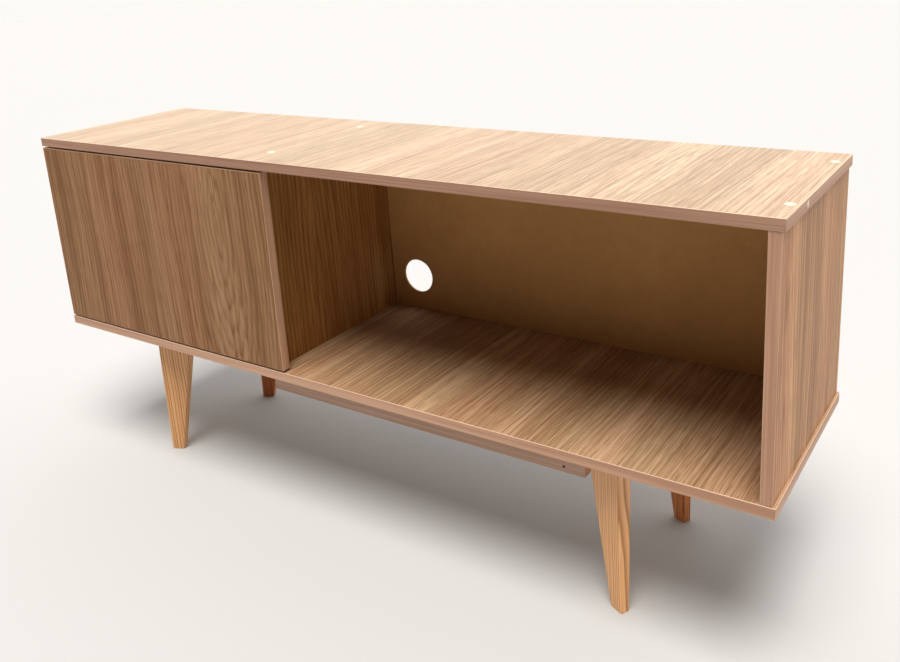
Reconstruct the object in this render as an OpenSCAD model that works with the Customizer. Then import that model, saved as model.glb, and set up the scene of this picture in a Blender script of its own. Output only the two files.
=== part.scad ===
// Low TV unit: one hinged door, one open bay, four tapered solid wood legs.
// Origin: centre of the footprint on the floor. +Z up, front faces -Y.

/* [Body] */
// overall length of the top and bottom boards
body_w = 1400; // [1100:10:1800]
// overall depth including the back panel
body_d = 340; // [300:5:420]
// clear height between bottom and top boards
clear_h = 348; // [280:2:420]
// thickness of every melamine board
board_t = 16; // [15:0.5:19]
// how far the top and bottom run past each side
side_inset = 4; // [0:0.5:10]
// thickness of the glued edge bands
band_t = 1; // [0.6:0.1:2]
// thickness of the hardboard back
back_t = 3; // [2.5:0.5:5]
// how far the back panel laps onto the top and bottom boards
back_lap = 12; // [6:1:15]

/* [Door] */
// door width including its edge bands
door_w = 584; // [450:2:700]
// gap above and below the door
door_gap = 3; // [2:0.5:5]
// distance from the unit's left end to the door's left edge
door_x = 1; // [0:0.5:4]
// distance from the unit's left end to the partition's left face
partition_x = 546; // [420:2:660]
// depth the left side and the partition stand back behind the door's face
set_back = 18.5; // [17:0.5:22]
// thickness of the soft stops on the door
bumper_t = 2.1; // [1.5:0.1:2.2]

/* [Hinges] */
// hinge cup bore diameter
cup_d = 35; // [35:1:35]
// hinge cup bore depth
cup_depth = 11.5; // [11:0.5:13]
// cup centre from the door's left edge
cup_in = 23; // [21:0.5:25]
// cup centre from the door's top and bottom edges
cup_end = 75; // [60:1:110]
// link length between its two eyes
link_l = 14.5; // [12:0.5:16]

/* [Legs] */
// leg length, which is the floor clearance
leg_h = 240; // [150:5:280]
// width of the leg's broad face at the top
leg_w_top = 66; // [50:1:80]
// leg thickness at the top
leg_t_top = 27; // [20:1:40]
// width of the leg's broad face at the floor
leg_w_foot = 24; // [18:1:40]
// leg thickness at the floor
leg_t_foot = 15; // [12:1:30]
// how far the broad face is turned inward
leg_turn = 25.7; // [0:0.1:45]
// outer front corner of a front leg from the unit's end
leg_x = 220.6; // [150:0.2:300]
// outer front corner of a front leg from the front
leg_y = 26.3; // [15:0.1:60]
// spacing from the front legs to the back legs
leg_pitch = 244; // [180:1:280]

/* [Support rail] */
// rail height
rail_h = 26.6; // [20:0.2:40]
// rail thickness
rail_t = 18; // [15:1:22]
// rail face from the front
rail_y = 14; // [8:1:40]
// rail's left end from the unit's left end
rail_x = 547; // [500:1:700]
// rail length
rail_l = 591; // [400:1:700]

/* [Cable hole] */
// hole diameter
cable_d = 65; // [50:1:80]
// hole centre from the partition's right face
cable_x = 60; // [45:1:120]
// hole centre above the bay floor
cable_z = 66; // [45:1:120]

/* [Fasteners] */
// screw cover cap diameter
cap_d = 13; // [10:1:16]
// thickness of a cap, let in flush
cap_t = 0.6; // [0.4:0.1:1]
// front row of carcass screws from the front
screw_y1 = 60; // [40:1:90]
// back row of carcass screws from the front
screw_y2 = 285; // [240:1:300]

/* [Hidden] */
$fn = 48;
hw = body_w / 2;
fy = -body_d / 2;                      // front plane
bd = body_d - back_t;                  // board depth
ry = fy + bd;                          // rear face of the boards
zb = leg_h;                            // underside of the bottom board
zi = leg_h + board_t;                  // bay floor
zt = zi + clear_h;                     // underside of the top board
zz = zt + board_t;                     // top face
lx = -hw + side_inset;                 // left side's outer face
rx = hw - side_inset;                  // right side's outer face
px = -hw + partition_x;                // partition's left face
sy = fy + set_back;                    // front of the left side and the partition
dx0 = -hw + door_x;
dx1 = dx0 + door_w;
dz0 = zi + door_gap;
dz1 = zt - door_gap;
dyb = fy + board_t;                    // door's back face
hz = [dz0 + cup_end, dz1 - cup_end];
cux = dx0 + cup_in;
nosx = -hw + 24.5;                     // fixed pivot of the hinge links
nosy = fy + 21.5;
link_a = -65;
wall_x = [lx + board_t / 2, px + board_t / 2, rx - board_t / 2];
screw_y = [fy + screw_y1, fy + screw_y2];
slip = 0.05;
wood = [0.80, 0.66, 0.50];
edge = [0.66, 0.49, 0.37];

module box(x0, y0, z0, x1, y1, z1) {
    translate([x0, y0, z0]) cube([x1 - x0, y1 - y0, z1 - z0]);
}

// confirmat screw along +Z with its head's top at the origin
module confirmat(g = 0) {
    translate([0, 0, -50]) cylinder(r = 3.4 + g, h = 46.5);
    translate([0, 0, -3.6]) cylinder(r1 = 3.4 + g, r2 = 4.9 + g, h = 1.6);
    translate([0, 0, -2.1]) cylinder(r = 4.9 + g, h = 2.1 + (g > 0 ? 1 : 0));
}

module at_screws(top = true, bottom = true) {
    for (x = wall_x, y = screw_y) {
        if (top) translate([x, y, zz - 0.9]) children();
        if (bottom) translate([x, y, zb + 0.9]) mirror([0, 0, 1]) children();
    }
}

module dowel_set(g = 0) {
    for (x = wall_x) {
        translate([x, 10, zt - 20 - g]) cylinder(r = 4 + g, h = 30 + 2 * g);
        translate([x, 10, zi - 10 - g]) cylinder(r = 4 + g, h = 30 + 2 * g);
    }
}

// one wire nail along +Y with its head's face at the origin
module nail(g = 0) {
    rotate([90, 0, 0]) {
        translate([0, 0, g > 0 ? -1 : 0]) cylinder(r = 1.7 + g, h = 0.7 + g + (g > 0 ? 1 : 0), $fn = 24);
        cylinder(r = 0.8 + g, h = 20 + g, $fn = 24);
    }
}

module at_nails() {
    for (x = [-640, -320, 0, 320, 640], z = [zb + 8, zt + 8])
        translate([x, fy + body_d, z]) children();
    for (x = wall_x, z = [zi + 90, zt - 90])
        translate([x, fy + body_d, z]) children();
}

module top_board() {
    color(wood) difference() {
        box(-hw + band_t, fy + band_t, zt, hw - band_t, ry, zz);
        at_screws(bottom = false) confirmat(slip);
        for (x = wall_x, y = screw_y) translate([x, y, zz - cap_t]) cylinder(r = cap_d / 2 + slip, h = 1, $fn = 40);
        dowel_set(slip);
        at_nails() nail(slip);
    }
}
module top_front_band() { color(edge) box(-hw + band_t, fy, zt, hw - band_t, fy + band_t, zz); }
module top_left_band() { color(edge) box(-hw, fy, zt, -hw + band_t, ry, zz); }
module top_right_band() { color(edge) box(hw - band_t, fy, zt, hw, ry, zz); }

module bottom_board() {
    color(wood) difference() {
        box(-hw + band_t, fy + band_t, zb, hw - band_t, ry, zi);
        at_screws(top = false) confirmat(slip);
        dowel_set(slip);
        at_nails() nail(slip);
        at_legs() leg_bore();
        rail_screw_set(slip);
    }
}
module bottom_front_band() { color(edge) box(-hw + band_t, fy, zb, hw - band_t, fy + band_t, zi); }
module bottom_left_band() { color(edge) box(-hw, fy, zb, -hw + band_t, ry, zi); }
module bottom_right_band() { color(edge) box(hw - band_t, fy, zb, hw, ry, zi); }

// a standing board bored for its screws, dowels and nails
module wall_board(x0, y0) {
    color(wood) difference() {
        box(x0, y0 + band_t, zi, x0 + board_t, ry, zt);
        at_screws() confirmat(slip);
        dowel_set(slip);
        at_nails() nail(slip);
        if (x0 < px - 1) for (z = hz, s = [-16, 16])
            translate([lx + board_t + 0.1, fy + 55.5, z + s]) rotate([0, -90, 0]) cylinder(r = 2.5 + slip, h = 12.2);
    }
}
module left_side() { wall_board(lx, sy); }
module left_side_band() { color(edge) box(lx, sy, zi, lx + board_t, sy + band_t, zt); }
module right_side() { wall_board(rx - board_t, fy + 1); }
module right_side_band() { color(edge) box(rx - board_t, fy + 1, zi, rx, fy + 1 + band_t, zt); }
module partition() { wall_board(px, sy); }
module partition_band() { color(edge) box(px, sy, zi, px + board_t, sy + band_t, zt); }

module back_panel() {
    color([0.36, 0.23, 0.13]) difference() {
        box(-hw + 5, ry, zi - back_lap, hw - 5, ry + back_t, zt + back_lap);
        translate([px + board_t + cable_x, ry - 1, zi + cable_z]) rotate([-90, 0, 0]) cylinder(r = cable_d / 2, h = back_t + 2, $fn = 96);
        at_nails() nail(slip);
    }
}

// stiffening rail screwed under the front of the open bay
module rail_screw_set(g = 0) {
    for (x = [30, 200, 370, 530])
        translate([-hw + rail_x + x, fy + rail_y + rail_t / 2, zb - rail_h + 0.4]) {
            translate([0, 0, g > 0 ? -1 : 0]) cylinder(r = 3.6 + g, h = 2 + (g > 0 ? 1 : 0), $fn = 32);
            translate([0, 0, 1.9]) cylinder(r = 2 + g, h = 36.1 + g, $fn = 32);
        }
}
module support_rail() {
    color(edge) difference() {
        box(-hw + rail_x, fy + rail_y, zb - rail_h, -hw + rail_x + rail_l, fy + rail_y + rail_t, zb);
        rail_screw_set(slip);
        translate([-hw + 1105, fy + rail_y - 1, zb - 18]) rotate([-90, 0, 0]) cylinder(r = 2, h = 6, $fn = 24);
    }
}
module rail_screws() { color([0.75, 0.75, 0.72]) rail_screw_set(); }

module door_board() {
    color(wood) difference() {
        box(dx0 + band_t, fy, dz0 + band_t, dx1 - band_t, dyb, dz1 - band_t);
        for (z = hz) {
            translate([cux, dyb - cup_depth, z]) rotate([-90, 0, 0]) cylinder(r = cup_d / 2, h = cup_depth + 1, $fn = 72);
            for (s = [-24, 24]) translate([cux + 9.5, dyb - 12.2, z + s]) rotate([-90, 0, 0]) cylinder(r = 1.75 + slip, h = 13, $fn = 32);
        }
    }
}
module door_left_band() { color(edge) box(dx0, fy, dz0, dx0 + band_t, dyb, dz1); }
module door_right_band() { color(edge) box(dx1 - band_t, fy, dz0, dx1, dyb, dz1); }
module door_top_band() { color(edge) box(dx0 + band_t, fy, dz1 - band_t, dx1 - band_t, dyb, dz1); }
module door_bottom_band() { color(edge) box(dx0 + band_t, fy, dz0, dx1 - band_t, dyb, dz0 + band_t); }

module door_bumpers() {
    color([0.85, 0.86, 0.84]) for (z = [dz0 + 25, dz1 - 25])
        translate([px + board_t / 2, dyb, z]) rotate([-90, 0, 0]) {
            cylinder(r = 4, h = bumper_t - 0.8, $fn = 36);
            translate([0, 0, bumper_t - 0.9]) cylinder(r1 = 4, r2 = 2.8, h = 0.9, $fn = 36);
        }
}

// drawn steel cup with a screw flange, let into the door
module hinge_cup(z) {
    color([0.72, 0.72, 0.70]) translate([cux, dyb, z]) rotate([-90, 0, 0]) difference() {
        union() {
            translate([0, 0, -cup_depth]) cylinder(r = cup_d / 2 - slip, h = cup_depth + 0.5, $fn = 72);
            cylinder(r = 19, h = 1, $fn = 72);
            translate([4, -30, 0]) cube([11.5, 60, 1]);
        }
        translate([0, 0, -cup_depth + 0.8]) cylinder(r = cup_d / 2 - 0.8, h = cup_depth + 2, $fn = 72);
        for (s = [-24, 24]) translate([9.5, s, -1]) cylinder(r = 1.9, h = 3, $fn = 32);
    }
}
module upper_hinge_cup() { hinge_cup(hz[1]); }
module lower_hinge_cup() { hinge_cup(hz[0]); }
module hinge_cup_screws() {
    color([0.8, 0.8, 0.78]) for (z = hz, s = [-24, 24])
        translate([cux + 9.5, dyb, z + s]) rotate([-90, 0, 0]) {
            translate([0, 0, -12]) cylinder(r = 1.75, h = 13, $fn = 32);
            translate([0, 0, 1]) cylinder(r1 = 3.5, r2 = 2.4, h = 1.6, $fn = 32);
        }
}

// cross mounting plate screwed to the left side
module hinge_plate(z) {
    color([0.70, 0.70, 0.68]) translate([lx + board_t, fy + 55.5, z]) difference() {
        union() {
            translate([0, -6, -23]) cube([2.5, 12, 46]);
            translate([0, -15, -6]) cube([2.5, 36, 12]);
        }
        for (s = [-16, 16]) translate([-1, 0, s]) rotate([0, 90, 0]) cylinder(r = 2.6, h = 5, $fn = 32);
        translate([1, -10.5, 0]) rotate([0, 90, 0]) cylinder(r = 1.95, h = 3, $fn = 32);
        translate([1, 13.5, 0]) rotate([0, 90, 0]) cylinder(r = 1.95, h = 3, $fn = 32);
    }
}
module upper_hinge_plate() { hinge_plate(hz[1]); }
module lower_hinge_plate() { hinge_plate(hz[0]); }
module hinge_plate_screws() {
    color([0.8, 0.8, 0.78]) for (z = hz, s = [-16, 16])
        translate([lx + board_t, fy + 55.5, z + s]) rotate([0, 90, 0]) {
            translate([0, 0, -12]) cylinder(r = 2.5, h = 14.6, $fn = 32);
            translate([0, 0, 2.5]) cylinder(r1 = 4.2, r2 = 3, h = 1.8, $fn = 32);
        }
}

// folded arm: a channel over the plate with two ears for the link's pin
module hinge_arm(z) {
    color([0.74, 0.74, 0.72]) difference() {
        union() {
            translate([0, 0, z]) box(lx + board_t + 2.5, nosy + 4, -6.4, lx + board_t + 10, fy + 79, 6.4);
            translate([nosx, nosy, z - 6.4]) cylinder(r = 3.2, h = 12.8, $fn = 40);
            translate([0, 0, z]) box(nosx - 3.2, nosy, -6.4, nosx + 3.2, nosy + 5, 6.4);
        }
        translate([0, 0, z]) box(lx + board_t + 1, nosy - 6, -4.9, lx + board_t + 8.6, fy + 80, 4.9);
        translate([0, 0, z]) box(nosx - 5, nosy - 6, -4.9, nosx + 6, nosy + 5.5, 4.9);
        translate([nosx, nosy, z - 8]) cylinder(r = 1.3, h = 16, $fn = 32);
        for (y = [45, 69]) translate([lx + board_t + 7, fy + y, z]) rotate([0, 90, 0]) cylinder(r = 1.95, h = 5, $fn = 32);
    }
}
module upper_hinge_arm() { hinge_arm(hz[1]); }
module lower_hinge_arm() { hinge_arm(hz[0]); }
module hinge_arm_screws() {
    color([0.8, 0.8, 0.78]) for (z = hz, y = [45, 69])
        translate([lx + board_t, fy + y, z]) rotate([0, 90, 0]) {
            translate([0, 0, 1.2]) cylinder(r = 1.9, h = 9.5, $fn = 32);
            translate([0, 0, 10]) cylinder(r = 3.2, h = 1.2, $fn = 32);
        }
}
module hinge_pins() {
    color([0.6, 0.6, 0.6]) for (z = hz) translate([nosx, nosy, z - 6.4]) cylinder(r = 1.3, h = 12.8, $fn = 32);
}

// swinging link between the arm's ears and the cup
module hinge_link(z) {
    color([0.68, 0.68, 0.66]) translate([nosx, nosy, z]) rotate([0, 0, link_a]) difference() {
        union() {
            translate([0, 0, -4.3]) cylinder(r = 2.6, h = 8.6, $fn = 40);
            translate([link_l, 0, -4.3]) cylinder(r = 2.6, h = 8.6, $fn = 40);
            translate([0, -2, -4.3]) cube([link_l, 4, 8.6]);
        }
        translate([0, 0, -6]) cylinder(r = 1.35, h = 12, $fn = 32);
    }
}
module upper_hinge_link() { hinge_link(hz[1]); }
module lower_hinge_link() { hinge_link(hz[0]); }

// tapered leg: u runs along the broad face, v into its thickness
module leg_solid() {
    u1 = -4.4; v1 = 1.2;
    polyhedron(points = [
        [0, 0, zb], [leg_w_top, 0, zb], [leg_w_top, leg_t_top, zb], [0, leg_t_top, zb],
        [u1, v1, 0], [u1 + leg_w_foot, v1, 0], [u1 + leg_w_foot, v1 + leg_t_foot, 0], [u1, v1 + leg_t_foot, 0]],
        faces = [[0, 3, 2, 1], [4, 5, 6, 7], [0, 1, 5, 4], [1, 2, 6, 5], [2, 3, 7, 6], [3, 0, 4, 7]]);
}
module one_leg(right, back) {
    mirror([right ? 1 : 0, 0, 0])
        translate([-hw + leg_x, fy + leg_y + (back ? leg_pitch : 0), 0]) rotate([0, 0, leg_turn]) children();
}
module at_legs() {
    for (r = [false, true], b = [false, true]) one_leg(r, b) translate([leg_w_top / 2, leg_t_top / 2, zb]) children();
}
module leg_bore() { translate([0, 0, -1]) cylinder(r = 6 + slip, h = 12.2, $fn = 40); }
module leg(right, back) {
    color([0.74, 0.53, 0.34]) difference() {
        one_leg(right, back) leg_solid();
        one_leg(right, back) translate([leg_w_top / 2, leg_t_top / 2, zb - 36.2]) cylinder(r = 4 + slip, h = 40, $fn = 40);
    }
}
module front_left_leg() { leg(false, false); }
module front_right_leg() { leg(true, false); }
module back_left_leg() { leg(false, true); }
module back_right_leg() { leg(true, true); }
module leg_bolts() {
    color([0.72, 0.70, 0.62]) at_legs() translate([0, 0, -36]) cylinder(r = 4, h = 46, $fn = 40);
}
module leg_insert_nuts() {
    color([0.78, 0.74, 0.60]) at_legs() difference() {
        cylinder(r = 6, h = 11, $fn = 40);
        translate([0, 0, -1]) cylinder(r = 4 + slip, h = 11.2, $fn = 40);
    }
}

module carcass_screws() { color([0.75, 0.75, 0.72]) at_screws() confirmat(); }
module screw_caps() {
    color([0.90, 0.80, 0.68]) for (x = wall_x, y = screw_y)
        translate([x, y, zz - cap_t]) cylinder(r = cap_d / 2, h = cap_t, $fn = 40);
}
module dowels() { color([0.85, 0.72, 0.52]) dowel_set(); }
module back_nails() { color([0.7, 0.7, 0.68]) at_nails() nail(); }

top_board();
top_front_band();
top_left_band();
top_right_band();
bottom_board();
bottom_front_band();
bottom_left_band();
bottom_right_band();
left_side();
left_side_band();
right_side();
right_side_band();
partition();
partition_band();
back_panel();
support_rail();
door_board();
door_left_band();
door_right_band();
door_top_band();
door_bottom_band();
door_bumpers();
upper_hinge_cup();
lower_hinge_cup();
hinge_cup_screws();
upper_hinge_plate();
lower_hinge_plate();
upper_hinge_arm();
lower_hinge_arm();
hinge_plate_screws();
hinge_arm_screws();
hinge_pins();
upper_hinge_link();
lower_hinge_link();
front_left_leg();
front_right_leg();
back_left_leg();
back_right_leg();
leg_bolts();
leg_insert_nuts();
carcass_screws();
screw_caps();
dowels();
rail_screws();
back_nails();
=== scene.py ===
import bpy, bmesh, math
from mathutils import Matrix, Vector


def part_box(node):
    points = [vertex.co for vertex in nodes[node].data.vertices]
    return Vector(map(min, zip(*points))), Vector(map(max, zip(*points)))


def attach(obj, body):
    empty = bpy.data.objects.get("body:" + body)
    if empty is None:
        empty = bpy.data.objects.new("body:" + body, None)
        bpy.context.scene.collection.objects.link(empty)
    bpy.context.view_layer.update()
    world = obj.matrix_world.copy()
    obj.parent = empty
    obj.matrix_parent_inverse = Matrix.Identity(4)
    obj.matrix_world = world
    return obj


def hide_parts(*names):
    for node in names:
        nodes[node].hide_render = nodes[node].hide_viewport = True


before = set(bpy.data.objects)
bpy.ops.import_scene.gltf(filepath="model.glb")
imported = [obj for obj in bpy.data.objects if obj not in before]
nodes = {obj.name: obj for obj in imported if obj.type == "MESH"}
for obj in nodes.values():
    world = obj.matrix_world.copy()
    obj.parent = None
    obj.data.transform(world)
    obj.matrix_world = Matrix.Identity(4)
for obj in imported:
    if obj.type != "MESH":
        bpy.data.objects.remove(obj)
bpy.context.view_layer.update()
print("frame loaded")

mm = 0.001


def hexColour(text):  # "#rrggbb" as painted, to linear light
    parts = [int(text[i:i + 2], 16) / 255 for i in (1, 3, 5)]
    return tuple(p / 12.92 if p <= 0.04045 else ((p + 0.055) / 1.055) ** 2.4 for p in parts) + (1.0,)


def addNode(tree, kind, settings=None, output=0, **inputs):  # adds, sets and links a node, gives one output
    node = tree.nodes.new("ShaderNode" + kind)
    for key, value in (settings or {}).items():
        if key == "stops":
            ramp = node.color_ramp
            while len(ramp.elements) < len(value):
                ramp.elements.new(0.5)
            for element, (place, colour) in zip(ramp.elements, value):
                element.position = place
                element.color = hexColour(colour) if isinstance(colour, str) else (colour, colour, colour, 1)
        else:
            setattr(node, key, value)
    for key, value in inputs.items():  # i0 is the first input, Base_Color the one of that name
        byNumber = key[0] == "i" and key[1:].isdigit()
        socket = node.inputs[int(key[1:]) if byNumber else key.replace("_", " ")]
        if isinstance(value, bpy.types.NodeSocket):
            tree.links.new(value, socket)
        else:
            socket.default_value = value
    return node.outputs if output is None else node.outputs[output]


def startMaterial(name):
    material = bpy.data.materials.new(name)
    material.use_nodes = True
    tree = material.node_tree
    shader = tree.nodes["Principled BSDF"]
    return material, tree, shader


near = 0.01 * mm  # two places closer than this count as one
addShare = {"operation": "MULTIPLY_ADD"}  # a layer times its share, plus what came before
lay = {"data_type": "RGBA"}  # one colour laid over another
tint = {"data_type": "RGBA", "blend_type": "MULTIPLY"}

# Oak print melamine: a printed paper pressed on chipboard, so the figure has no depth. Pale and tan streaks
# 5 to 60 mm wide, a flame figure of 9 mm rings, satin sheen. Real pore lines are about 1 mm apart, and are
# drawn 2 to 3 mm apart so that they show.
oakSettings = {
    "pale": "#C09A76", "light": "#AF8761", "mid": "#9E7651", "dark": "#8A6240", "pore": "#744D30",
    "greener": "#FDFFFB", "rosier": "#FFF8F5",  # slow drift of the hue over the sheet
    "broad": 0.30, "streak": 0.20, "fine": 0.45, "hair": 0.05, "ripple": 0.11,  # share of each layer
    "grain": 1.0, "dash": 4.5,  # how many times finer across, and fine lines per metre along
    "warp": 0.055, "ring": 9 * mm, "flame": 0.30, "taper": 0.07,
    "rough": 0.52, "resin": 0.0, "sheen": 0.25, "bump": 0.05 * mm,
}


def oakPrint(name, across, along, shift, heart=(0.0, 0.0), tone="#FFFFFF", settings=oakSettings):
    material, tree, shader = startMaterial(name)
    place = addNode(tree, "TexCoord", output="Object")
    parts = addNode(tree, "SeparateXYZ", i0=place, output=None)
    space = addNode(tree, "CombineXYZ", i0=parts[across], i1=parts[along], i2=shift)
    push = 0.0
    for scale, share in [((2.4, 0.9, 1), 1.0), ((16, 3.2, 1), 0.22)]:  # the grain bends slowly and sways
        placed = addNode(tree, "Mapping", Vector=space, Scale=scale)
        wave = addNode(tree, "TexNoise", Vector=placed, Scale=1.0, Detail=2.0, Roughness=0.55)
        push = addNode(tree, "Math", addShare, i0=wave, i1=settings["warp"] * share, i2=push)
    pushed = addNode(tree, "CombineXYZ", i0=push)
    bent = addNode(tree, "VectorMath", {"operation": "ADD"}, i0=space, i1=pushed)
    layers = {  # noise drawn out along the grain: cycles per metre across and along, detail, roughness
        "broad": ((17, 0.5, 1), 3.0, 0.6), "streak": ((85 * settings["grain"], 1.2, 1), 2.0, 0.6),
        "fine": ((310 * settings["grain"], settings["dash"], 1), 3.0, 0.8), "hair": ((560, 22, 1), 1.0, 0.5),
        "rosy": ((12, 0.6, 1), 2.0, 0.5),
    }
    for layer, (scale, detail, rough) in layers.items():
        placed = addNode(tree, "Mapping", Vector=bent, Scale=scale)
        layers[layer] = addNode(tree, "TexNoise", Vector=placed, Scale=1.0, Detail=detail, Roughness=rough)
    parts = addNode(tree, "SeparateXYZ", i0=bent, output=None)
    side = addNode(tree, "Math", {"operation": "ADD"}, i0=parts[0], i1=heart[0])
    side = addNode(tree, "Math", {"operation": "PINGPONG"}, i0=side, i1=settings["flame"])
    down = addNode(tree, "Math", {"operation": "ADD"}, i0=parts[1], i1=heart[1])
    down = addNode(tree, "Math", {"operation": "MULTIPLY"}, i0=down, i1=settings["taper"])
    flat = addNode(tree, "CombineXYZ", i0=side, i1=down)
    count = addNode(tree, "VectorMath", {"operation": "LENGTH"}, i0=flat, output="Value")
    count = addNode(tree, "Math", {"operation": "DIVIDE"}, i0=count, i1=settings["ring"])
    for layer, share in [("streak", 1.4), ("broad", 2.0)]:  # uneven ring widths
        count = addNode(tree, "Math", addShare, i0=layers[layer], i1=share, i2=count)
    rings = addNode(tree, "Math", {"operation": "FRACT"}, i0=count)
    ringStops = [(0.0, 0.1), (0.25, 0.85), (0.7, 0.75), (1.0, 0.0)]
    layers["ripple"] = addNode(tree, "ValToRGB", {"stops": ringStops}, Fac=rings)
    value = 0.0
    for layer in ("broad", "streak", "fine", "ripple", "hair"):
        value = addNode(tree, "Math", addShare, i0=layers[layer], i1=settings[layer], i2=value)
    stops = [(0.47, "dark"), (0.54, "mid"), (0.605, "light"), (0.69, "pale")]
    colour = addNode(tree, "ValToRGB", {"stops": [(at, settings[shade]) for at, shade in stops]}, Fac=value)
    pores = addNode(tree, "ValToRGB", {"stops": [(0.55, 0.0), (0.68, 0.5)]}, Fac=layers["hair"])
    colour = addNode(tree, "Mix", lay, i0=pores, i6=colour, i7=hexColour(settings["pore"]), output=2)
    hues = [(0.40, settings["greener"]), (0.62, settings["rosier"])]
    for over in (addNode(tree, "ValToRGB", {"stops": hues}, Fac=layers["rosy"]), hexColour(tone)):
        colour = addNode(tree, "Mix", tint, i0=1.0, i6=colour, i7=over, output=2)
    tree.links.new(colour, shader.inputs["Base Color"])
    lift = addNode(tree, "Bump", Height=layers["fine"], Strength=0.25, Distance=settings["bump"])
    tree.links.new(lift, shader.inputs["Normal"])
    shader.inputs["Roughness"].default_value = settings["rough"]
    shader.inputs["IOR"].default_value = 1.5
    shader.inputs["Specular IOR Level"].default_value = settings["sheen"]
    shader.inputs["Coat Weight"].default_value = settings["resin"]
    shader.inputs["Coat Roughness"].default_value = settings["rough"]
    return material


# Edge strip: printed paper or thin plastic, duller and pinker than the faces, fine lines along its length.
# Real lines are under 1 mm apart, and are drawn 2.4 mm apart so that they show.
# the pale line drawn along the chosen arrises is partly worn paper core, partly a painted highlight
bandSettings = {
    "light": "#CCA386", "mid": "#BF9478", "dark": "#B08468", "core": "#F2DEC8",
    "worn": 0.45, "wearHighlightWide": 0.55 * mm, "ragged": 0.5 * mm, "rough": 0.5,
}


def edgeStrip(name, across, along, shift, arris=(), chip=None, settings=bandSettings):
    material, tree, shader = startMaterial(name)
    place = addNode(tree, "TexCoord", output="Object")
    parts = addNode(tree, "SeparateXYZ", i0=place, output=None)
    space = addNode(tree, "CombineXYZ", i0=parts[across], i1=parts[along], i2=shift)
    value = 0.0
    for scale, detail, rough, share in [((60, 1.6, 1), 2.0, 0.5, 0.45), ((420, 3.5, 1), 3.0, 0.65, 0.55)]:
        placed = addNode(tree, "Mapping", Vector=space, Scale=scale)
        lines = addNode(tree, "TexNoise", Vector=placed, Scale=1.0, Detail=detail, Roughness=rough)
        value = addNode(tree, "Math", addShare, i0=lines, i1=share, i2=value)
    stops = [(0.40, settings["dark"]), (0.50, settings["mid"]), (0.61, settings["light"])]
    colour = addNode(tree, "ValToRGB", {"stops": stops}, Fac=value)
    for axis, sign, edge in arris:  # a pale line along the chosen arrises: partly the pale paper core of a trimmed and sanded corner, partly a painted highlight
        ragged = addNode(tree, "Math", {"operation": "MULTIPLY"}, i0=lines, i1=settings["ragged"])
        past = addNode(tree, "Math", addShare, i0=parts[axis], i1=sign, i2=ragged)
        begins, ends = sign * edge - settings["wearHighlightWide"], sign * edge + 0.05 * mm
        mask = addNode(tree, "MapRange", Value=past, From_Min=begins, From_Max=ends, To_Max=settings["worn"])
        colour = addNode(tree, "Mix", lay, i0=mask, i6=colour, i7=hexColour(settings["core"]), output=2)
    if chip:  # a flake knocked off, showing the pale core
        wobble = addNode(tree, "TexNoise", Vector=place, Scale=260.0, Detail=2.0)
        far = addNode(tree, "VectorMath", {"operation": "DISTANCE"}, i0=place, i1=chip["at"], output="Value")
        far = addNode(tree, "Math", addShare, i0=wobble, i1=chip["size"], i2=far)
        inner, outer = (chip["size"] * k for k in (1.15, 1.3))
        mask = addNode(tree, "MapRange", Value=far, From_Min=inner, From_Max=outer, To_Min=1.0, To_Max=0.0)
        colour = addNode(tree, "Mix", lay, i0=mask, i6=colour, i7=hexColour(chip["colour"]), output=2)
    tree.links.new(colour, shader.inputs["Base Color"])
    shader.inputs["Roughness"].default_value = settings["rough"]
    shader.inputs["IOR"].default_value = 1.5
    return material


# Hardboard: pressed brown wood fibre, bare, so it is matt and cloudy with a fine fleck.
hardboardSettings = {
    "cloud": "#B4864D", "base": "#BB8B51", "pale": "#C29257", "rough": 0.85, "bump": 0.2 * mm,
    "layers": [(9.0, 4.0, 0.6, 0.5), (55.0, 3.0, 0.7, 0.3), (420.0, 2.0, 0.8, 0.2)],  # cloud, mottle, fleck
}


def hardboard(name, settings=hardboardSettings):
    material, tree, shader = startMaterial(name)
    place = addNode(tree, "TexCoord", output="Object")
    value = 0.0
    for scale, detail, rough, share in settings["layers"]:
        fleck = addNode(tree, "TexNoise", Vector=place, Scale=scale, Detail=detail, Roughness=rough)
        value = addNode(tree, "Math", addShare, i0=fleck, i1=share, i2=value)
    stops = [(0.38, settings["cloud"]), (0.5, settings["base"]), (0.62, settings["pale"])]
    colour = addNode(tree, "ValToRGB", {"stops": stops}, Fac=value)
    tree.links.new(colour, shader.inputs["Base Color"])
    lift = addNode(tree, "Bump", Height=fleck, Strength=0.4, Distance=settings["bump"])
    tree.links.new(lift, shader.inputs["Normal"])
    shader.inputs["Roughness"].default_value = settings["rough"]
    return material


# Solid softwood leg under clear satin lacquer: growth rings 4 mm apart cut by each face, dark late wood.
legWood = {
    "pale": "#FCC88C", "mid": "#F0B476", "late": "#B87F48", "ring": 4.0 * mm, "wander": 7 * mm,
    "ringShare": 0.82, "fibreShare": 0.32, "uneven": 1.6, "bump": 0.2 * mm,
    "rough": 0.40, "lacquer": 0.25, "lacquerRough": 0.3,
}


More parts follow.
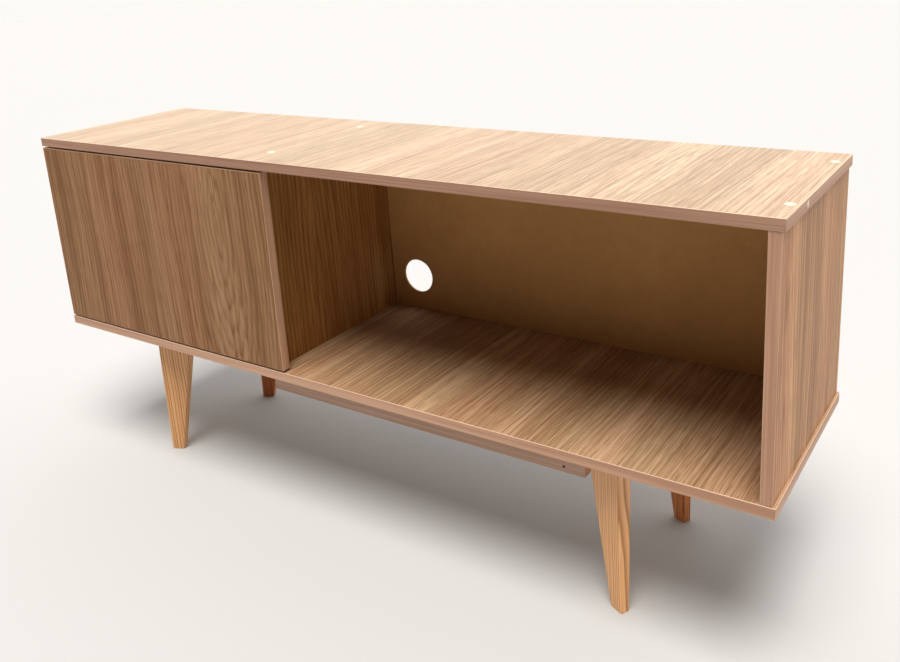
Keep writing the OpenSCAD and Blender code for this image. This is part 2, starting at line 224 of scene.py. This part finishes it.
def lacqueredPine(name, turn, heart, tone, settings=legWood):
    material, tree, shader = startMaterial(name)
    place = addNode(tree, "TexCoord", output="Object")
    asLeg = {"vector_type": "TEXTURE"}
    turned = addNode(tree, "Mapping", asLeg, Vector=place, Location=heart, Rotation=(0, 0, turn))
    wave = addNode(tree, "Mapping", Vector=turned, Scale=(9, 9, 5))
    wander = addNode(tree, "TexNoise", Vector=wave, Scale=1.0, Detail=2.0, output=1)
    wander = addNode(tree, "VectorMath", {"operation": "SCALE"}, i0=wander, Scale=settings["wander"])
    bent = addNode(tree, "VectorMath", {"operation": "ADD"}, i0=turned, i1=wander)
    flat = addNode(tree, "Mapping", Vector=bent, Scale=(1, 1, 0.02))
    radius = addNode(tree, "VectorMath", {"operation": "LENGTH"}, i0=flat, output="Value")
    count = addNode(tree, "Math", {"operation": "DIVIDE"}, i0=radius, i1=settings["ring"])
    uneven = addNode(tree, "TexNoise", {"noise_dimensions": "1D"}, W=count, Scale=0.45, Detail=1.0)
    count = addNode(tree, "Math", addShare, i0=uneven, i1=settings["uneven"], i2=count)
    phase = addNode(tree, "Math", {"operation": "FRACT"}, i0=count)
    fibre = addNode(tree, "Mapping", Vector=turned, Scale=(900, 900, 9))
    fibre = addNode(tree, "TexNoise", Vector=fibre, Scale=1.0, Detail=2.0)
    fibre = addNode(tree, "Math", {"operation": "MULTIPLY"}, i0=fibre, i1=settings["fibreShare"])
    value = addNode(tree, "Math", addShare, i0=phase, i1=settings["ringShare"], i2=fibre)
    stops = [(0.12, "mid"), (0.30, "pale"), (0.62, "mid"), (0.92, "late")]
    colour = addNode(tree, "ValToRGB", {"stops": [(at, settings[shade]) for at, shade in stops]}, Fac=value)
    # the tint by tone darkens each leg: painted shade
    colour = addNode(tree, "Mix", tint, i0=1.0, i6=colour, i7=hexColour(tone), output=2)
    tree.links.new(colour, shader.inputs["Base Color"])
    lift = addNode(tree, "Bump", Height=value, Strength=0.3, Distance=settings["bump"])
    tree.links.new(lift, shader.inputs["Normal"])
    shader.inputs["Roughness"].default_value = settings["rough"]
    shader.inputs["Coat Weight"].default_value = settings["lacquer"]
    shader.inputs["Coat Roughness"].default_value = settings["lacquerRough"]
    return material


# Plated steel: bright zinc or nickel over pressed sheet, satin rather than mirror, faint 6 mm smears in
# the gloss.
def platedSteel(name, colour, rough):
    material, tree, shader = startMaterial(name)
    place = addNode(tree, "TexCoord", output="Object")
    smear = addNode(tree, "TexNoise", Vector=place, Scale=160.0, Detail=2.0, Roughness=0.5)
    duller, brighter = rough + 0.05, rough - 0.04
    gloss = addNode(tree, "MapRange", Value=smear, From_Min=0.3, From_Max=0.7, To_Min=brighter, To_Max=duller)
    tree.links.new(gloss, shader.inputs["Roughness"])
    shade = addNode(tree, "ValToRGB", {"stops": [(0.3, colour[0]), (0.7, colour[1])]}, Fac=smear)
    tree.links.new(shade, shader.inputs["Base Color"])
    shader.inputs["Metallic"].default_value = 1.0
    return material


# Moulded plastic: an even colour with a faint cloud, softly glossy.
def mouldedPlastic(name, low, high, rough, clear=0.0):
    material, tree, shader = startMaterial(name)
    place = addNode(tree, "TexCoord", output="Object")
    cloud = addNode(tree, "TexNoise", Vector=place, Scale=180.0, Detail=2.0)
    shade = addNode(tree, "ValToRGB", {"stops": [(0.35, low), (0.65, high)]}, Fac=cloud)
    tree.links.new(shade, shader.inputs["Base Color"])
    shader.inputs["Roughness"].default_value = rough
    shader.inputs["Transmission Weight"].default_value = clear
    return material


# Each board's palette is set to how lit that board is: a paler top and bay floor, more orange sides, a darker
# tint on the door and a warmer tint on the partition in its shade. These are lit and shaded copies of one
# print, painted light and shade.
topPrint = dict(  # a clear wear layer makes the top the glossiest board
    oakSettings, pale="#CEB79A", light="#BBA081", mid="#AA8C6D", dark="#937557",
    dash=8.0, ripple=0.12, grain=1.35, rough=0.38, resin=0.33, sheen=0.5)
floorPrint = dict(
    oakSettings, pale="#C8AC90", light="#B5977A", mid="#A38467", dark="#8E6F53",
    broad=0.34, streak=0.16, fine=0.45, dash=6.5, ripple=0.08, grain=1.6, rough=0.75, sheen=0.1)
doorPrint = dict(
    oakSettings, broad=0.34, streak=0.23, fine=0.38, taper=0.2, ripple=0.12, rough=0.6, sheen=0.15)
sidePrint = dict(
    oakSettings, pale="#DDAF82", light="#C9976C", mid="#B48159", dark="#9A6A45",
    broad=0.35, streak=0.25, fine=0.35)
innerPrint = dict(oakSettings, rough=0.75, sheen=0.1)
oakTop = oakPrint("oakPrintTop", 0, 1, 0.31, (0.066, 0.02), settings=topPrint)
oakFloor = oakPrint("oakPrintBottom", 0, 1, 1.7, (-0.2, 0.1), settings=floorPrint)
# the door's tint darkens it: painted shade of its front face, partly a denser print
oakDoor = oakPrint("oakPrintDoor", 0, 2, 2.9, (0.196, -0.50), "#E8E2E2", doorPrint)
oakSide = oakPrint("oakPrintSides", 1, 2, 4.3, (0.1, -0.2), settings=sidePrint)
# the partition's warm tint paints the saturated shade inside the bay
oakInner = oakPrint("oakPrintPartition", 1, 2, 5.6, (0.0, -0.3), "#FFF1C6", innerPrint)
beech = oakPrint("beechDowel", 0, 2, 7.0)

topEdge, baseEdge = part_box("top_board")[1][2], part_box("bottom_board")[1][2]
sideLow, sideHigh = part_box("right_side")
# the door's top and bottom strips are darkened: painted shade of the narrow gaps above and below the door
doorEndShadeTones = dict(bandSettings, light="#AD8A70", mid="#A07E65", dark="#917058")
# the top front strip's pale upper arris is strongest: worn core and painted highlight
topFrontTones = dict(bandSettings, light="#B58D75", mid="#A87E66", dark="#9A7058", worn=0.6)
railTones = dict(bandSettings, light="#C29C84", mid="#B68E76", dark="#A67E66")
chipPlan = {"at": (0.7, -0.076, 0.6125), "size": 6 * mm, "colour": "#EBD9C4"}
uprightArrises = [(0, 1, sideHigh[0]), (0, -1, sideLow[0])]
stripLong = edgeStrip("edgeStripDoorEnds", 1, 0, 0.4, settings=doorEndShadeTones)
stripTop = edgeStrip("edgeStripTopFront", 2, 0, 5.4, [(2, 1, topEdge)], settings=topFrontTones)
stripTopEnd = edgeStrip("edgeStripTopEnd", 2, 1, 1.1, [(2, 1, topEdge)])
stripChipped = edgeStrip("edgeStripChipped", 2, 1, 1.9, [(2, 1, topEdge)], chipPlan)
stripBase = edgeStrip("edgeStripBaseFront", 2, 0, 3.7, [(2, 1, baseEdge)])
stripBaseEnd = edgeStrip("edgeStripBaseEnd", 2, 1, 4.2, [(2, 1, baseEdge)])
stripRail = edgeStrip("edgeStripRail", 2, 0, 6.6, settings=railTones)
stripUp = edgeStrip("edgeStripUpright", 0, 2, 2.2, uprightArrises, settings=dict(bandSettings, worn=0.2))
stripDoorSide = edgeStrip("edgeStripDoorSide", 1, 2, 3.3)

backBoard = hardboard("brownHardboard")
zinc = platedSteel("zincPlatedSteel", ("#C6C6C2", "#D0D0CC"), 0.42)
nickel = platedSteel("nickelPlatedSteel", ("#CFCFCC", "#DADAD8"), 0.36)
yellowZinc = platedSteel("yellowZincSteel", ("#BEB184", "#CCBF90"), 0.42)
strawPlastic = mouldedPlastic("strawCapPlastic", "#C29F73", "#CFAF82", 0.5)
capPlastic = mouldedPlastic("paleCapPlastic", "#E9D9BE", "#F3E7D0", 0.5)
clearStop = mouldedPlastic("clearStopPlastic", "#DDE2E0", "#EDF0EE", 0.2, 0.6)
print("materials made")


def paint(obj, material):
    if not obj.data.materials:
        obj.data.materials.append(material)
    for i in range(len(obj.material_slots)):
        obj.material_slots[i].material = material


cadFinish = {  # the nodes that stay as they are
    "top_board": oakTop, "bottom_board": oakFloor, "door_board": oakDoor, "right_side": oakSide,
    "left_side": oakSide, "partition": oakInner, "dowels": beech, "leg_insert_nuts": yellowZinc,
    "carcass_screws": zinc, "rail_screws": zinc, "back_nails": zinc, "leg_bolts": yellowZinc,
}
for nodeName, material in cadFinish.items():
    paint(nodes[nodeName], material)
print("frame nodes painted")

finishShape = {"smoothBelow": 35, "weld": 0.02 * mm, "flatWithin": 1}  # angles in degrees


def deselectAll():
    if bpy.context.object and bpy.context.object.mode != "OBJECT":
        bpy.ops.object.mode_set(mode="OBJECT")
    bpy.ops.object.select_all(action="DESELECT")


def makeActive(obj):
    deselectAll()
    obj.select_set(True)
    bpy.context.view_layer.objects.active = obj


def settle(obj):  # origin at the frame's origin, unturned and unscaled
    makeActive(obj)
    bpy.ops.object.transform_apply(location=True, rotation=True, scale=True)


def addBox(name, low, high):
    deselectAll()
    middle = [(a + b) / 2 for a, b in zip(low, high)]
    bpy.ops.mesh.primitive_cube_add(size=1, location=middle, scale=[b - a for a, b in zip(low, high)])
    obj = bpy.context.object
    obj.name = name
    settle(obj)
    return obj


def bevelEdges(obj, chosen, width, segments):  # rounds the edges whose two ends pass the test
    makeActive(obj)
    bpy.ops.object.mode_set(mode="EDIT")
    bpy.ops.mesh.select_mode(type="EDGE")
    bpy.ops.mesh.select_all(action="DESELECT")
    mesh = bmesh.from_edit_mesh(obj.data)
    for edge in mesh.edges:
        a, b = (v.co for v in edge.verts)
        edge.select_set(bool(chosen(a, b)))
    bmesh.update_edit_mesh(obj.data)
    bpy.ops.mesh.bevel(offset=width, offset_type="OFFSET", segments=segments, profile=0.5, affect="EDGES")
    bpy.ops.object.mode_set(mode="OBJECT")


def finishPiece(obj, body, material, nodeName):
    makeActive(obj)
    bpy.ops.object.shade_smooth_by_angle(angle=math.radians(finishShape["smoothBelow"]))
    flatten = obj.modifiers.new("flatten", "WEIGHTED_NORMAL")  # keeps broad faces flat beside an eased edge
    flatten.keep_sharp = True
    bpy.ops.object.modifier_apply(modifier="flatten")
    paint(obj, material)
    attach(obj, body)
    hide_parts(nodeName)


def narrowUnderside(obj, size, shift=(0, 0, 0)):  # scales the bottom face, then moves it
    makeActive(obj)
    bpy.ops.object.mode_set(mode="EDIT")
    bpy.ops.mesh.select_mode(type="FACE")
    bpy.ops.mesh.select_all(action="DESELECT")
    mesh = bmesh.from_edit_mesh(obj.data)
    for face in mesh.faces:
        face.select_set(face.normal.z < -0.9)
    bmesh.update_edit_mesh(obj.data)
    bpy.ops.transform.resize(value=size)
    bpy.ops.transform.translate(value=shift)
    bpy.ops.object.mode_set(mode="OBJECT")


def joinPieces(name, parts):
    deselectAll()
    for part in parts:
        part.select_set(True)
    bpy.context.view_layer.objects.active = parts[0]
    bpy.ops.object.join()
    parts[0].name = name
    return parts[0]


def copyNode(nodeName, name):  # a merged copy of a frame node, flat faces made whole again
    deselectAll()
    source = nodes[nodeName]
    piece = bpy.data.objects.new(name, source.data.copy())
    bpy.context.scene.collection.objects.link(piece)
    makeActive(piece)
    bpy.ops.object.mode_set(mode="EDIT")
    bpy.ops.mesh.select_all(action="SELECT")
    bpy.ops.mesh.remove_doubles(threshold=finishShape["weld"])
    bpy.ops.mesh.dissolve_limited(angle_limit=math.radians(finishShape["flatWithin"]))
    bpy.ops.object.mode_set(mode="OBJECT")
    return piece


def easeEdges(piece, width, steps, sharp=40):  # a bevel on every edge sharper than the angle
    makeActive(piece)
    bevel = piece.modifiers.new("ease", "BEVEL")
    bevel.width, bevel.segments = width, steps
    bevel.limit_method, bevel.angle_limit = "ANGLE", math.radians(sharp)
    bevel.use_clamp_overlap = True
    bpy.ops.object.modifier_apply(modifier="ease")


def cutCross(piece, places, turn):  # cross recess pressed into each screw head
    size = (headShape["long"], headShape["wide"], headShape["deep"] * 2)
    arms = []
    for place in places:
        for spin in (0, math.pi / 2):
            deselectAll()
            bpy.ops.mesh.primitive_cube_add(size=1, location=(0, 0, 0), scale=size)
            arm = bpy.context.object
            narrowUnderside(arm, headShape["point"])
            spun = turn @ Matrix.Rotation(spin, 4, "Z")
            arm.matrix_world = Matrix.Translation(place) @ spun @ Matrix.Diagonal((*size, 1))
            arms.append(arm)
            settle(arm)
    for arm in arms:
        makeActive(piece)
        cut = piece.modifiers.new("cross", "BOOLEAN")
        cut.operation, cut.solver, cut.object = "DIFFERENCE", "EXACT", arm
        bpy.ops.object.modifier_apply(modifier="cross")
    for arm in arms:
        bpy.data.objects.remove(arm)


bandShape = {"round": 0.8 * mm, "steps": 4}
bandPlan = [  # node, outward axis, sign, body, finish
    ("top_front_band", 1, -1, "carcass", stripTop),
    ("top_left_band", 0, -1, "carcass", stripTopEnd),
    ("top_right_band", 0, 1, "carcass", stripChipped),
    ("bottom_front_band", 1, -1, "carcass", stripBase),
    ("bottom_left_band", 0, -1, "carcass", stripBaseEnd),
    ("bottom_right_band", 0, 1, "carcass", stripBaseEnd),
    ("left_side_band", 1, -1, "carcass", stripUp),
    ("right_side_band", 1, -1, "carcass", stripUp),
    ("partition_band", 1, -1, "carcass", stripUp),
    ("door_left_band", 0, -1, "door", stripDoorSide),
    ("door_right_band", 0, 1, "door", stripDoorSide),
    ("door_top_band", 2, 1, "door", stripLong),
    ("door_bottom_band", 2, -1, "door", stripLong),
]
for nodeName, axis, sign, body, finish in bandPlan:
    low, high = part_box(nodeName)
    face = high[axis] if sign > 0 else low[axis]
    first, *others = nodeName.replace("_band", "_strip").split("_")
    band = addBox(first + "".join(word.capitalize() for word in others), low, high)
    outer = lambda a, b: abs(a[axis] - face) < near and abs(b[axis] - face) < near
    bevelEdges(band, outer, bandShape["round"], bandShape["steps"])
    finishPiece(band, body, finish, nodeName)
print("edge strips made")

legShape = {  # "corner" is where the first upright edge stands, "turn" is in degrees
    "wide": 66 * mm, "thick": 27 * mm, "tall": 240 * mm, "footWide": 24 * mm, "footThick": 15 * mm,
    "footShift": (-4.4 * mm, 1.2 * mm), "turn": 25.7, "pitch": 244 * mm,
    "corner": (-479.4 * mm, -143.7 * mm), "arris": 2.2 * mm, "footArris": 1.2 * mm,
}


def makeLeg(name, right, back):
    s = legShape
    leg = addBox(name, (0, 0, 0), (s["wide"], s["thick"], s["tall"]))
    centred = ((s["footWide"] - s["wide"]) / 2, (s["footThick"] - s["thick"]) / 2)
    shift = (s["footShift"][0] + centred[0], s["footShift"][1] + centred[1], 0)
    narrowUnderside(leg, (s["footWide"] / s["wide"], s["footThick"] / s["thick"], 1), shift)
    bevelEdges(leg, lambda a, b: abs(a.z - b.z) > s["tall"] / 2, s["arris"], 4)
    bevelEdges(leg, lambda a, b: max(a.z, b.z) < near, s["footArris"], 2)
    leg.rotation_euler = (0, 0, math.radians(s["turn"]))
    leg.location = (s["corner"][0], s["corner"][1] + (s["pitch"] if back else 0), 0)
    settle(leg)
    if right:  # mirrored, then its faces turned outward again
        leg.scale = (-1, 1, 1)
        settle(leg)
        bpy.ops.object.mode_set(mode="EDIT")
        bpy.ops.mesh.select_all(action="SELECT")
        bpy.ops.mesh.normals_make_consistent(inside=False)
        bpy.ops.object.mode_set(mode="OBJECT")
    return leg


legPlan = [  # name, node, right, back, pith of the tree from the leg, tone; the tone is painted light and shade, set to how lit each leg is, with the back legs darkest and most orange as in the shade under the stand
    ("frontLeftLeg", "front_left_leg", False, False, (-0.52, -0.30, 0.1), "#E7DED6"),
    ("frontRightLeg", "front_right_leg", True, False, (0.28, 0.06, 0.0), "#F7F0EA"),
    ("backLeftLeg", "back_left_leg", False, True, (-0.50, -0.02, 0.3), "#C49044"),
    ("backRightLeg", "back_right_leg", True, True, (0.44, 0.26, 0.5), "#EABD7C"),
]
for name, nodeName, right, back, heart, tone in legPlan:
    turn = math.radians(-legShape["turn"] if right else legShape["turn"])
    wood = lacqueredPine("lacqueredPine" + name[0].upper() + name[1:], turn, heart, tone)
    finishPiece(makeLeg(name, right, back), "carcass", wood, nodeName)
print("legs made")

capShape = {"radius": 6.5 * mm, "thick": 0.6 * mm, "rim": 0.25 * mm, "middle": -146 * mm}  # middle row's x
low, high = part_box("screw_caps")
capRadius, capTop = capShape["radius"], high[2]
caps = []
for x in (low[0] + capRadius, capShape["middle"], high[0] - capRadius):
    for y in (low[1] + capRadius, high[1] - capRadius):
        deselectAll()
        middle = (x, y, capTop - capShape["thick"] / 2)
        bpy.ops.mesh.primitive_cylinder_add(
            vertices=48, radius=capRadius, depth=capShape["thick"], location=middle)
        cap = bpy.context.object
        settle(cap)
        bevelEdges(cap, lambda a, b: min(a.z, b.z) > capTop - near, capShape["rim"], 3)
        caps.append(cap)
leftCaps = joinPieces("leftScrewCaps", caps[:2])  # a browner batch than the rest
finishPiece(leftCaps, "carcass", strawPlastic, "screw_caps")
otherCaps = joinPieces("screwCaps", caps[2:])
finishPiece(otherCaps, "carcass", capPlastic, "screw_caps")

stopShape = {"radius": 4 * mm, "thick": 2.1 * mm, "dome": 1.2 * mm}
low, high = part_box("door_bumpers")
stopBack = high[1]
stops = []
for z in (low[2] + stopShape["radius"], high[2] - stopShape["radius"]):
    deselectAll()
    middle = ((low[0] + high[0]) / 2, (low[1] + high[1]) / 2, z)
    bpy.ops.mesh.primitive_cylinder_add(
        vertices=40, radius=stopShape["radius"], depth=stopShape["thick"], location=middle,
        rotation=(math.pi / 2, 0, 0))
    stop = bpy.context.object
    settle(stop)
    bevelEdges(stop, lambda a, b: min(a.y, b.y) > stopBack - near, stopShape["dome"], 5)
    stops.append(stop)
finishPiece(joinPieces("doorStops", stops), "door", clearStop, "door_bumpers")
print("caps and stops made")

# concealed hinges: pressed and folded steel, every cut edge eased, cross-headed screws
hingeShape = {  # the body that each part rides on, and how far its edges are eased
    "cup": ("door", 0.28 * mm), "plate": ("carcass", 0.35 * mm), "arm": ("carcass", 0.4 * mm),
    "link": ("hinge_links", 0.35 * mm),
}
hingePlan = []  # node, name, body, eased width
for part, (body, width) in hingeShape.items():
    for level in ("upper", "lower"):
        hingePlan.append((level + "_hinge_" + part, level + "Hinge" + part.capitalize(), body, width))
hingePlan.append(("hinge_pins", "hingePins", "carcass", 0.25 * mm))
for nodeName, name, body, width in hingePlan:
    piece = copyNode(nodeName, name)
    easeEdges(piece, width, 2)
    finishPiece(piece, body, nickel, nodeName)
print("hinges made")

headShape = {  # cross recess, the share of its size left at its point, and the rounding of the head
    "long": 3.0 * mm, "wide": 0.75 * mm, "deep": 1.1 * mm, "point": (0.35, 0.6, 1), "round": 0.3 * mm,
    "cupApart": 48 * mm, "plateApart": 32 * mm, "armRadius": 3.2 * mm,
}
hingeHigh = [sum(corner[2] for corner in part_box(level + "_hinge_cup")) / 2 for level in ("lower", "upper")]
cupLow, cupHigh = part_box("hinge_cup_screws")
plateLow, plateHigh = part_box("hinge_plate_screws")
armLow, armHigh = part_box("hinge_arm_screws")
cupHeads, plateHeads, armHeads = [], [], []
for z in hingeHigh:
    for side in (-0.5, 0.5):
        cupHeads.append(((cupLow[0] + cupHigh[0]) / 2, cupHigh[1], z + side * headShape["cupApart"]))
        plateMiddle = (plateLow[1] + plateHigh[1]) / 2
        plateHeads.append((plateHigh[0], plateMiddle, z + side * headShape["plateApart"]))
    for y in (armLow[1] + headShape["armRadius"], armHigh[1] - headShape["armRadius"]):
        armHeads.append((armHigh[0], y, z))
faceBack = Matrix.Rotation(-math.pi / 2, 4, "X")
faceRight = Matrix.Rotation(math.pi / 2, 4, "Y")
screwPlan = [  # node, name, body, middle of each head's face, turn from facing up
    ("hinge_cup_screws", "hingeCupScrews", "door", cupHeads, faceBack),
    ("hinge_plate_screws", "hingePlateScrews", "carcass", plateHeads, faceRight),
    ("hinge_arm_screws", "hingeArmScrews", "carcass", armHeads, faceRight),
]
for nodeName, name, body, heads, turn in screwPlan:
    piece = copyNode(nodeName, name)
    easeEdges(piece, headShape["round"], 3)
    cutCross(piece, heads, turn)
    finishPiece(piece, body, zinc, nodeName)
print("hinge screws made")

# rail and back panel keep their bores, with broken edges
panelPlan = [  # node, name, slot, finish, eased width
    ("support_rail", "supportRail", "rail_face", stripRail, 0.5 * mm),
    ("back_panel", "backPanel", "hardboard", backBoard, 0.35 * mm),
]
for nodeName, name, slotName, finish, width in panelPlan:
    piece = copyNode(nodeName, name)
    easeEdges(piece, width, 2, 60)
    finishPiece(piece, "carcass", finish, nodeName)
print("rail and back panel made")

floorPlan = {"wide": 40, "colour": "#BBBEC2", "rough": 0.9}
deselectAll()
bpy.ops.mesh.primitive_plane_add(size=floorPlan["wide"], location=(0, 0, 0))
ground = bpy.context.object
ground.name = "paleFloor"
floorMaterial, _, floorShader = startMaterial("palePaperFloor")
floorShader.inputs["Base Color"].default_value = hexColour(floorPlan["colour"])
floorShader.inputs["Roughness"].default_value = floorPlan["rough"]
paint(ground, floorMaterial)

skyPlan = {  # strength in front and behind, where the glow comes from, its edges as cosines, colours
    "front": 0.12, "back": 1.3, "glow": (-0.3, 0.87, 0.35), "begins": -0.35, "full": 0.95,
    "colour": "#FFF9F2", "seen": "#FDFAF6",
}
world = bpy.data.worlds.new("studioWorld")
bpy.context.scene.world = world
world.use_nodes = True
worldTree = world.node_tree
away = addNode(worldTree, "TexCoord", output="Generated")
dot = {"operation": "DOT_PRODUCT"}
reach = addNode(worldTree, "VectorMath", dot, i0=away, i1=skyPlan["glow"], output="Value")
glow = addNode(
    worldTree, "MapRange", {"interpolation_type": "SMOOTHSTEP"}, Value=reach, From_Min=skyPlan["begins"],
    From_Max=skyPlan["full"], To_Min=skyPlan["front"], To_Max=skyPlan["back"])
room = worldTree.nodes["Background"]
room.inputs[0].default_value = hexColour(skyPlan["colour"])
worldTree.links.new(glow, room.inputs[1])
farFloor = hexColour(skyPlan["seen"])  # as pale as the floor far off, so no horizon shows
seen = addNode(worldTree, "Background", Color=farFloor, Strength=1.0)
ray = addNode(worldTree, "LightPath", output="Is Camera Ray")
both = addNode(worldTree, "MixShader", i0=ray, i1=room.outputs[0], i2=seen)
worldTree.links.new(both, worldTree.nodes["World Output"].inputs["Surface"])

sunPlan = {"from": (0.13, -0.27, 1.0), "angle": 34, "strength": 4.1, "colour": "#FFF8EE"}
sunData = bpy.data.lights.new("overheadLight", "SUN")
sunData.energy, sunData.angle = sunPlan["strength"], math.radians(sunPlan["angle"])
sunData.color = hexColour(sunPlan["colour"])[:3]
sun = bpy.data.objects.new("overheadLight", sunData)
bpy.context.scene.collection.objects.link(sun)
sun.rotation_euler = (-Vector(sunPlan["from"])).to_track_quat("-Z", "Y").to_euler()

cameraPlan = {
    "place": (0.9512, -1.1429, 0.9202), "yaw": -33.61, "pitch": 15.631, "roll": -3.193,
    "focal": 36.5, "shiftX": -0.0371, "shiftY": -0.1397,
}
cameraData = bpy.data.cameras.new("camera")
camera = bpy.data.objects.new("camera", cameraData)
bpy.context.scene.collection.objects.link(camera)
yaw, pitch, roll = (math.radians(cameraPlan[k]) for k in ("yaw", "pitch", "roll"))
forward = Vector((math.sin(yaw) * math.cos(pitch), math.cos(yaw) * math.cos(pitch), -math.sin(pitch)))
level = Vector((math.cos(yaw), -math.sin(yaw), 0))
upward = level.cross(forward)
right = level * math.cos(roll) + upward * math.sin(roll)
above = upward * math.cos(roll) - level * math.sin(roll)
turn = Matrix((right, above, -forward)).transposed()
camera.matrix_world = Matrix.Translation(cameraPlan["place"]) @ turn.to_4x4()
cameraData.sensor_width = 36
cameraData.lens = cameraPlan["focal"]
cameraData.shift_x, cameraData.shift_y = cameraPlan["shiftX"], cameraPlan["shiftY"]
bpy.context.scene.camera = camera
bpy.context.scene.view_settings.view_transform = "Standard"
print("camera and lights set")
